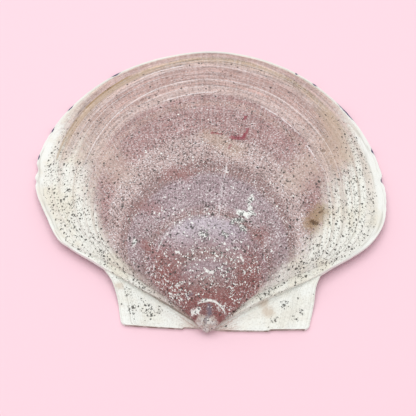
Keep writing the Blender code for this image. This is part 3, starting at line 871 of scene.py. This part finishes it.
    def thread_noise(self, skin: Skin) -> Socket:
        """Fine threads that run out from the beak: a wave round the disc, broken up by noise."""
        graph = skin.graph
        wave = graph.maths("SINE", skin.around * (2.0 * np.pi * self.threads) + skin.ragged * 1.5)
        gaps = graph.noise(graph.point(skin.around * 150.0, skin.scale * 11.0), 1.0, 2.0)
        return (0.5 + 0.5 * wave) * graph.smooth(gaps, 0.35, 0.65)

    def tongue_colour(self, skin: Skin, blur: Socket) -> Socket:
        """The tongue's growth rings, red-brown flanks by the beak, and paler tan edges near the rim."""
        graph = skin.graph
        u, stage = skin.around, skin.stage
        rings = graph.ramp(stage + skin.ragged * 0.010 + blur * 0.014, *self.rings)
        off_middle = abs(u - 0.5)
        young = graph.fade(stage, 0.27, 0.37)
        flank = graph.smooth(off_middle, 0.07, 0.26) * young
        rings = graph.mix(flank, rings, Paint.RED_BROWN)
        far_side = graph.smooth(off_middle, 0.32, 0.41)
        rings = graph.mix(far_side * young * 0.35, rings, Paint.SHELL_PINK)
        shade = graph.smooth(off_middle, 0.12, 0.24) * (1.0 - young)
        rings = graph.mix(shade * graph.fade(stage, 0.36, 0.50, 0.45), rings, Paint.PLUM)
        rings = graph.mix(shade * graph.smooth(stage, 0.68, 0.80) * 0.45, rings, Paint.PALE_TAN)
        return graph.mix(far_side * graph.smooth(stage, 0.25, 0.36) * 0.9, rings, Paint.SAND)

    def weathered(self, skin: Skin, colour: Socket, fine: Socket, broad: Socket) -> Socket:
        """Growth lines as lighter and darker strips, then pale and dark grains."""
        graph = skin.graph
        lines = graph.ramp(skin.stage, *self.line_strength)
        light = 0.90 + broad * 0.35 + fine * lines * 2.4
        colour = graph.mix(1.0, colour, graph.point(light, light, light), "MULTIPLY")
        strength = graph.ramp(skin.stage, *self.grain_strength)
        colour = graph.mix(graph.smooth(skin.grain, 0.53, 0.62) * strength, colour, Paint.FROST)
        near_side = graph.fade(skin.around, 0.06, 0.16)
        dark = graph.smooth(skin.grime, 0.49, 0.40) * strength * (0.90 - near_side * 0.5)
        return graph.mix(dark, colour, Paint.SOOT)

    def side_colour(self, skin: Skin, fine: Socket, broad: Socket) -> Socket:
        """White and cream sides with faint grey growth lines."""
        graph = skin.graph
        clouds = graph.noise(skin.place, 0.06, 4.0, 0.6)
        cream = graph.smooth(clouds, 0.45, 0.62) * 0.50 + graph.smooth(skin.scale, 0.955, 0.935) * 0.20
        pale = graph.mix(cream, Paint.CHALK, Paint.CREAM)
        strip = graph.smooth(broad, -0.05, 0.10) * graph.smooth(skin.scale, 0.955, 0.925)
        near_tongue = graph.smooth(abs(skin.around - 0.5), 0.43, 0.28) * 0.55
        pale = graph.mix(strip * near_tongue, pale, Paint.PALE_TAN)
        pale = graph.mix(graph.smooth(fine + broad * 0.6, 0.02, 0.20) * 0.60, pale, Paint.GREY)
        worn = graph.smooth(skin.grime, 0.47, 0.38) * 0.60
        pale = graph.mix(worn * graph.smooth(skin.scale, 0.96, 0.92), pale, Paint.GREY)
        low = graph.fade(skin.scale + (skin.around - 0.5) * 0.30, 0.26, 0.52, 0.65)
        return graph.mix(low, pale, Paint.SAND)

    def marked(self, skin: Skin, colour: Socket) -> Socket:
        """Adds the pale growth lines and the single marks."""
        graph = skin.graph
        broken = graph.smooth(skin.grain, 0.30, 0.55)
        colour = graph.mix(self.all_of(skin, self.pale_lines) * broken, colour, Paint.FROST)
        for paint, parts in self.marks:
            colour = graph.mix(self.all_of(skin, parts) * (1.0 - skin.ear), colour, paint)
        return colour

    def ear_colour(self, skin: Skin, fine: Socket) -> Socket:
        """White ears with a fan of faint lines from the beak, yellowish stains, and a rosy inner end."""
        graph = skin.graph
        clouds = graph.noise(skin.place, 0.09, 3.0, 0.6)
        colour = graph.mix(graph.smooth(clouds, 0.42, 0.66) * 0.35, Paint.CHALK, Paint.CREAM)
        edge = graph.smooth(skin.scale, 0.55, 0.85)
        colour = graph.mix(graph.smooth(fine, -0.02, 0.18) * (0.30 + edge * 0.40), colour, Paint.GREY)
        colour = graph.mix(graph.smooth(skin.grime, 0.48, 0.38) * 0.35, colour, Paint.GREY)
        from_beak = graph.node("SeparateXYZ", None, {0: graph.moved(skin.plan, self.fan_centre)})
        bearing = graph.maths("ARCTAN2", from_beak.other("Y"), abs(from_beak))
        fan = graph.noise(graph.point(bearing * 22.0, skin.scale * 3.0), 1.0, 2.0, 0.6)
        young = graph.fade(skin.scale, 0.10, 0.55)
        colour = graph.mix(graph.smooth(fan, 0.46, 0.64) * (0.12 + young * 0.5), colour, Paint.SAND)
        stains = self.all_of(skin, self.ear_stains) * 0.5 * graph.smooth(clouds, 0.35, 0.6)
        colour = graph.mix(stains, colour, Paint.TAN)
        rosy = graph.fade(skin.scale, 0.12, 0.36) * (0.30 + graph.smooth(fan, 0.4, 0.6) * 0.5)
        return graph.mix(rosy, colour, Paint.SHELL_PINK)

    def beak_cap(self, skin: Skin, colour: Socket) -> Socket:
        """The beak, worn down to a pale, mottled cap with a broken edge."""
        graph = skin.graph
        mottle = graph.noise(skin.place, 0.55, 3.0, 0.7)
        cap = graph.mix(graph.smooth(mottle, 0.42, 0.58) * 0.7, Paint.SAND, Paint.CHALK)
        cap = graph.mix(graph.smooth(skin.grime, 0.44, 0.38) * 0.6, cap, Paint.SMOKE)
        edge = graph.fade(skin.scale + skin.ragged * 0.050 + skin.grain * 0.02, 0.064, 0.072)
        return graph.mix(edge * (1.0 - skin.ear) * 0.9, colour, cap)

    def sores_and_pit_shading(self, skin: Skin, tongue: Socket) -> tuple[Socket, Socket]:
        """White flecks and larger sores, most of them in the young shell, each by a dark hollow: chalky wear
        partly painted as a pit's lit rim (painted highlight), and beside it the pit's dark, partly painted
        shade.
        """
        graph = skin.graph
        crowded = graph.noise(skin.place, 0.13, 1.0) - 0.5
        young = graph.smooth(skin.stage, 0.05, 0.12) * graph.fade(skin.stage, 0.22, 0.36)
        share = (young * 0.22 + graph.fade(skin.stage, 0.55, 0.75) * (0.04 + crowded * 0.30)) * tongue
        flecks = graph.specks(skin.warped, 0.95, share, 0.56, 29.0)
        # Painted shade: dark dots at the flecks' places moved half a millimetre to one side, so each fleck
        # has a shaded side.
        pit_shade_dots = graph.specks(graph.moved(skin.warped, (0.55, 0.40, 0.0)), 0.85, share * 0.6, 0.50, 29.0)
        rest = crowded * 0.30 - 0.12 + young * 0.11
        # Painted highlight and shade: the hollow is the white's noise moved half a millimetre, so each white
        # patch has a dark side like a lit pit rim and its shaded hollow.
        white = graph.noise(graph.moved(skin.place, (5.0, 90.0, 1.0)), 0.85, 3.0, 0.75) + rest
        hollow = graph.noise(graph.moved(skin.place, (5.5, 90.4, 1.0)), 0.85, 3.0, 0.75) + rest
        white = graph.larger(graph.smooth(white, 0.605, 0.625) * tongue, flecks)
        return white, graph.larger(graph.smooth(hollow, 0.610, 0.630) * tongue, pit_shade_dots)

    def borings(self, skin: Skin, tongue: Socket) -> Socket:
        """Dark borings, most of them on the white sides, and the deep pits of the worn patches."""
        graph = skin.graph
        sides = (1.0 - tongue) * (1.0 - skin.ear)
        crowded = graph.smooth(graph.noise(skin.place, 0.10, 2.0), 0.36, 0.60)
        clear = graph.smooth(skin.scale, 0.955, 0.925)
        middle = tongue * (0.12 + 0.16 * crowded) * (1.0 - graph.smooth(skin.stage, 0.62, 0.84) * 0.6)
        crowd = self.all_of(skin, self.ear_specks)
        share = (sides * (0.34 + 0.34 * crowded) + middle) * clear + crowd * 0.9 + skin.ear * 0.03
        holes = graph.specks(skin.warped, 0.66, share, 0.48, 3.0)
        small = graph.specks(skin.warped, 1.05, share, 0.48, 17.0)
        pits = self.all_of(skin, self.deep_pits) * graph.smooth(skin.grime, 0.51, 0.46)
        return graph.larger(graph.larger(holes, small * 0.85), pits)

    def rim_marks(self, skin: Skin, colour: Socket) -> Socket:
        """The thin white lip and the dark blue slivers left on it."""
        graph = skin.graph
        lip = graph.smooth(skin.scale, 0.985, 0.995) * (1.0 - skin.ear)
        colour = graph.mix(lip * 0.7, colour, Paint.CHALK)
        slivers = 0.0
        for middle, half in self.navy_edges:
            near = 1.0 - graph.smooth(abs(skin.around - middle), half * 0.1, half * 1.3)
            slivers = graph.larger(slivers, near)
        place = skin.scale + skin.ragged * 0.012 + slivers * 0.008
        return graph.mix(graph.smooth(place, 0.9995, 1.0015) * slivers, colour, Paint.NAVY)

    def inside_colour(self, skin: Skin, fine: Socket) -> Socket:
        """Pearly inside with a blush towards the margin and a faint round muscle scar."""
        graph = skin.graph
        near, line, far = self.scar_radii
        away = graph.distance(skin.place, self.scar_centre)
        scar = graph.smooth(away, near, line) * (1.0 - graph.smooth(away, line, far))
        colour = graph.mix(scar * 0.35, Paint.PEARL, Paint.GREY)
        margin = graph.smooth(skin.scale, 0.72, 0.98)
        colour = graph.mix(margin * (0.6 + fine), colour, Paint.BLUSH)
        clouds = graph.noise(skin.place, 0.05, 3.0)
        return graph.mix(graph.smooth(clouds, 0.5, 0.7) * 0.3, colour, Paint.CREAM)

    def edges(self, skin: Skin, colour: Socket) -> Socket:
        """Brown stain in the hinge edge, and painted shade in the left crease under the disc's overhanging
        edge.
        """
        graph = skin.graph
        hinge = skin.inside * (1.0 - skin.inside) * 4.0 * skin.ear
        stained = 0.45 + 0.55 * graph.smooth(graph.noise(skin.place, 0.25), 0.4, 0.6)
        colour = graph.mix(hinge * stained, colour, Paint.HINGE_BROWN)
        # Painted shade: umber darkens the strip where the left ear meets the disc, standing for the shade
        # under the disc's overhanging edge.
        crease = skin.ear * (1.0 - skin.ear) * 4.0 * graph.fade(skin.around, 0.3, 0.6)
        return graph.mix(crease * graph.fade(skin.scale, 0.3, 0.9, 0.7), colour, Paint.UMBER)

    def make(self, locate: Locate) -> bpy.types.Material:
        """Builds the material.

        Args:
            locate: gives the plan place of a part of the way round and a growth stage.

        Returns:
            The material.
        """
        graph = Graph("shell_growth")
        skin = Skin.read(graph, locate)
        blur = graph.noise(skin.place, 0.07, 2.0) - 0.5
        broad, fine = self.growth_noise(skin)
        threads = self.thread_noise(skin)
        tongue = self.tongue(skin, blur)

        middle = self.weathered(skin, self.tongue_colour(skin, blur), fine, broad)
        middle = graph.mix(threads * graph.smooth(skin.stage, 0.10, 0.35) * 0.16, middle, Paint.FROST)
        colour = graph.mix(tongue, self.side_colour(skin, fine, broad), middle)
        colour = self.beak_cap(skin, colour)
        colour = self.marked(skin, colour)
        colour = graph.mix(skin.ear, colour, self.ear_colour(skin, fine))

        # Partly painted light: the white flecks are chalky wear with painted highlight, and the hollows are
        # pit colour with painted shade.
        white, hollow = self.sores_and_pit_shading(skin, tongue)
        colour = graph.mix(hollow * (1.0 - skin.ear) * 0.90, colour, Paint.PIT)
        colour = graph.mix(white * (1.0 - skin.ear) * 0.92, colour, Paint.CHALK)
        dark = self.borings(skin, tongue)
        colour = graph.mix(dark * 0.88, colour, Paint.PIT)
        colour = self.rim_marks(skin, colour)

        colour = graph.mix(skin.inside, colour, self.inside_colour(skin, fine))
        colour = self.edges(skin, colour)
        graph.feed(graph.surface.inputs["Base Color"], colour)

        rough = self.outside_roughness + 0.12 * skin.grain - 0.10 * tongue
        rough = rough + skin.inside * (self.inside_roughness - self.outside_roughness)
        graph.feed(graph.surface.inputs["Roughness"], rough)

        lines = graph.ramp(skin.stage, *self.line_strength)
        height = broad * 0.08 + fine * 0.25 * lines + threads * tongue * 0.03
        height = height + skin.grain * 0.16 - dark * 0.16
        height = height * (1.0 - 0.9 * skin.inside)
        bump = graph.node("Bump", None, {"Strength": 1.0, "Distance": 1.0 / MM, "Height": height})
        graph.feed(graph.surface.inputs["Normal"], bump)
        return graph.material


@dataclass
class ScallopValve:
    """The valve as one closed piece.

    Its inside has every inner_step-th column of the outside and stays a share of the way within the
    inner edge. The rim's land counts as partly inside. The sharp angle is in degrees.
    """

    rim: Rim = field(default_factory=Rim)
    growth: Growth = field(default_factory=Growth)
    finish: ShellFinish = field(default_factory=ShellFinish)
    disc_columns: int = 401
    ear_columns: int = 25
    rows: int = 154
    inner_step: int = 3
    inner_share: float = 0.985
    rim_inside: float = 0.6
    merge_distance: float = 0.000002
    sharp_angle: float = 50.0
    plan: Array = field(init=False, repr=False)
    shift: Array = field(init=False, repr=False)

    def locate(self, spot: Spot) -> tuple[float, float, float]:
        """Where a spot of the outside, given as (around, stage), lies in plan, in the frame's millimetres."""
        line = self.plan[:, self.ear_columns + round(spot[0] * (self.disc_columns - 1))]
        stages = self.growth.stages(self.rows)
        x, y = (MM * (np.interp(spot[1], stages, line[:, axis]) + self.shift[axis]) for axis in (0, 1))
        return float(x), float(y), 0.0

    @staticmethod
    def quads(lines: Array) -> Array:
        """Quads between neighbouring lines of a table of point numbers."""
        corners = [lines[:-1, :-1], lines[:-1, 1:], lines[1:, 1:], lines[1:, :-1]]
        return np.stack(corners, axis=-1).reshape(-1, 4)

    @staticmethod
    def fan(centre: int, line: Array) -> Array:
        """Triangles from one point to a line of points."""
        return np.stack([np.full(len(line) - 1, centre), line[:-1], line[1:]], axis=1)

    def sewn(self, fine: Array, coarse: Array) -> Array:
        """Triangles between a line and one with every inner_step-th of its columns."""
        step = self.inner_step
        i = np.arange(len(fine) - 1)
        j = np.arange(len(coarse) - 1)
        wide = np.stack([fine[:-1], fine[1:], coarse[(i + 1) // step]], axis=1)
        narrow = np.stack([coarse[:-1], coarse[1:], fine[step * j + step - 1]], axis=1)
        return np.concatenate([wide, narrow])

    def surface(self) -> tuple[Array, list[Array], dict[str, Array]]:
        """Works out the points, faces and attributes of the closed surface.

        Returns:
            The points, the tables of faces, and the values of each attribute.
        """
        columns = self.rim.columns(self.disc_columns, self.ear_columns)
        stages = self.growth.stages(self.rows)
        outside, scale = self.growth.outside(stages, columns, self.rim)
        self.plan = outside[..., :2]
        count = len(columns.points)
        rows = len(stages)

        foot = outside[-1].copy()
        foot[:, 2] = self.growth.rim_lift(columns.points[:, 1])
        edge = self.growth.inner_edge(columns)
        land = np.column_stack([edge, self.growth.rim_lift(edge[:, 1])])
        land[:, :2] += self.rim.cut_back(columns)[:, None] * columns.inward()
        land[[0, -1], 1] = foot[[0, -1], 1]
        kept = np.arange(0, count, self.inner_step)
        plan = self.inner_share * stages[:, None, None] * edge[None, kept]
        notches = (self.ear_columns - 1, count - self.ear_columns)
        height = self.growth.inner_height(plan[..., 0], plan[..., 1], edge, notches)
        inside = np.concatenate([plan, height[..., None]], axis=2)
        inside[..., 1] += self.growth.hinge_shift(inside)
        tip = (0.0, -self.growth.beak_reach - self.growth.hinge_bow, self.growth.beak_tip_height)
        middle = (0.0, -self.growth.hinge_bow + self.growth.hinge_nick[1], 0.0)
        points = np.concatenate([outside.reshape(-1, 3), foot, land, inside.reshape(-1, 3), [tip, middle]])

        outer = np.arange((rows + 2) * count).reshape(rows + 2, count)
        inner = outer.size + np.arange(rows * len(kept)).reshape(rows, len(kept))
        tip_at, middle_at = len(points) - 2, len(points) - 1
        faces = [self.quads(outer), self.quads(inner), self.sewn(outer[-1], inner[-1])]
        faces += [self.fan(tip_at, outer[0]), self.fan(middle_at, inner[0])]
        for side in (0, -1):
            upper = np.concatenate([[tip_at], outer[:-1, side]])
            lower = np.concatenate([[middle_at], inner[:, side], outer[-1:, side]])
            faces.append(self.quads(np.stack([upper, lower[: len(upper)]])))

        def spread(over: Array, at_rim: float, under: Array, ends: tuple[float, float]) -> Array:
            """One attribute over the outside, the rim's foot and land, the inside and the end points."""
            rim_rows = np.full(2 * count, at_rim)
            return np.concatenate([over.ravel(), rim_rows, under.ravel(), ends])

        ones = np.ones((rows, 1))
        ear = (~columns.is_disc).astype(float)
        around = ones * columns.around
        stage = stages[:, None] * np.ones(count)
        values = {
            "around": spread(around, 0.0, around[:, kept], (0.5, 0.5)),
            "stage": spread(stage, 1.0, stage[:, kept], (0.0, 0.0)),
            "scale": spread(scale, 1.0, stage[:, kept], (0.0, 0.0)),
            "ear": spread(ones * ear, 0.0, ones * ear[kept], (0.0, 0.0)),
            "inside": spread(0.0 * stage, 0.0, np.ones((rows, len(kept))), (0.0, 1.0)),
        }
        for name, line in (("around", columns.around), ("ear", ear)):
            values[name][rows * count : (rows + 2) * count] = np.tile(line, 2)
        values["inside"][(rows + 1) * count : (rows + 2) * count] = self.rim_inside
        return points, faces, values

    def build(self) -> bpy.types.Object:
        """Makes the piece, centred on the CAD node's box, with its attributes and its UV map.

        Returns:
            The valve.
        """
        points, faces, values = self.surface()
        low, high = (np.array(corner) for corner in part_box("scallop_valve"))
        own_low, own_high = points.min(axis=0), points.max(axis=0)
        shift = (low + high - own_low - own_high) / 2
        shift[2] = low[2] - own_low[2]
        self.shift = shift
        mesh = bpy.data.meshes.new("scallop_shell")
        mesh.from_pydata((points + shift).tolist(), [], [face for table in faces for face in table.tolist()])
        for name, value in values.items():
            layer = mesh.attributes.new(name, "FLOAT", "POINT")
            layer.data.foreach_set("value", value.astype(np.float32))
        self.unwrap(mesh, values)
        self.close(mesh)
        valve = bpy.data.objects.new("scallop_shell", mesh)
        bpy.context.scene.collection.objects.link(valve)
        return valve

    @staticmethod
    def unwrap(mesh: bpy.types.Mesh, values: dict[str, Array]) -> None:
        """A UV map along the growth: round the disc by growth stage, the inside beside the outside."""
        corners = np.empty(len(mesh.loops), np.int32)
        mesh.loops.foreach_get("vertex_index", corners)
        across = 0.1 + 0.8 * values["around"] + 0.05 * values["ear"] * np.sign(values["around"] - 0.5)
        across = (across + np.round(values["inside"])) / 2
        layer = mesh.uv_layers.new(name="growth")
        flat = np.stack([across, values["stage"]], axis=1)[corners].astype(np.float32)
        layer.data.foreach_set("uv", flat.ravel())

    def close(self, mesh: bpy.types.Mesh) -> None:
        """Merges the doubled points at the notches and turns all faces outwards."""
        shape = bmesh.new()
        shape.from_mesh(mesh)
        bmesh.ops.remove_doubles(shape, verts=shape.verts, dist=self.merge_distance)
        bmesh.ops.dissolve_degenerate(shape, edges=shape.edges, dist=self.merge_distance)
        bmesh.ops.recalc_face_normals(shape, faces=shape.faces)
        shape.to_mesh(mesh)
        shape.free()
        mesh.shade_smooth()
        mesh.set_sharp_from_angle(angle=np.radians(self.sharp_angle))

    def dress(self, valve: bpy.types.Object) -> None:
        """Gives the valve its finish."""
        valve.data.materials.append(self.finish.make(self.locate))


@dataclass
class Studio:
    """A pale floor, soft light from behind and above, and the camera."""

    floor_half: float = 2.5
    floor_gap: float = 0.0001
    floor_colour: tuple[float, float, float, float] = (0.90, 0.62, 0.70, 1.0)
    key_place: tuple[float, float, float] = (-0.10, 0.18, 1.05)
    key_size: float = 0.9
    key_power: float = 6.2
    sky: tuple[float, float, float, float] = (1.0, 1.0, 1.0, 1.0)
    sky_strength: float = 0.72
    stand: tuple[float, float, float] = (0.0096, -0.2584, 0.4240)
    aim: tuple[float, float, float] = (-0.00025, -0.0138, 0.0)
    lens: float = 89.6
    sensor: float = 36.0

    def floor(self) -> bpy.types.Object:
        """The floor, just under the part."""
        half, z = self.floor_half, -self.floor_gap
        mesh = bpy.data.meshes.new("floor")
        corners = [(-half, -half, z), (half, -half, z), (half, half, z), (-half, half, z)]
        mesh.from_pydata(corners, [], [(0, 1, 2, 3)])
        graph = Graph("floor_card")
        graph.feed(graph.surface.inputs["Base Color"], self.floor_colour)
        graph.feed(graph.surface.inputs["Roughness"], 0.8)
        mesh.materials.append(graph.material)
        floor = bpy.data.objects.new("floor", mesh)
        bpy.context.scene.collection.objects.link(floor)
        return floor

    def aimed(self, thing: bpy.types.Object, place: tuple[float, float, float], aim: Vector) -> None:
        """Puts a lamp or camera at a place and turns it towards a point."""
        bpy.context.scene.collection.objects.link(thing)
        thing.location = place
        thing.rotation_euler = (aim - Vector(place)).to_track_quat("-Z", "Y").to_euler()

    def light(self) -> None:
        """One large soft lamp and a white sky."""
        lamp = bpy.data.lights.new("key", "AREA")
        lamp.size = self.key_size
        lamp.energy = self.key_power
        self.aimed(bpy.data.objects.new("key", lamp), self.key_place, Vector((0.0, 0.0, 0.0)))
        scene = bpy.context.scene
        scene.world = bpy.data.worlds.new("studio")
        scene.world.use_nodes = True
        background = scene.world.node_tree.nodes["Background"]
        background.inputs["Color"].default_value = self.sky
        background.inputs["Strength"].default_value = self.sky_strength
        scene.view_settings.view_transform = "Standard"

    def camera(self) -> None:
        """The camera, from where the photograph was taken."""
        view = bpy.data.cameras.new("view")
        view.lens = self.lens
        view.sensor_width = self.sensor
        camera = bpy.data.objects.new("view", view)
        self.aimed(camera, self.stand, Vector(self.aim))
        bpy.context.scene.camera = camera


def main() -> None:
    """Builds the studio and the valve, and keeps the two boxes."""
    logging.basicConfig(level=logging.INFO, format="%(message)s")
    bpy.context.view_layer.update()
    studio = Studio()
    studio.camera()
    studio.light()
    studio.floor()
    LOG.info("studio: camera, light and floor")

    maker = ScallopValve()
    valve = maker.build()
    maker.dress(valve)
    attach(valve, "root")
    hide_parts("scallop_valve")
    triangles = sum(len(face.vertices) - 2 for face in valve.data.polygons)
    LOG.info("%s: %d triangles", valve.name, triangles)


if __name__ == "__main__":
    main()
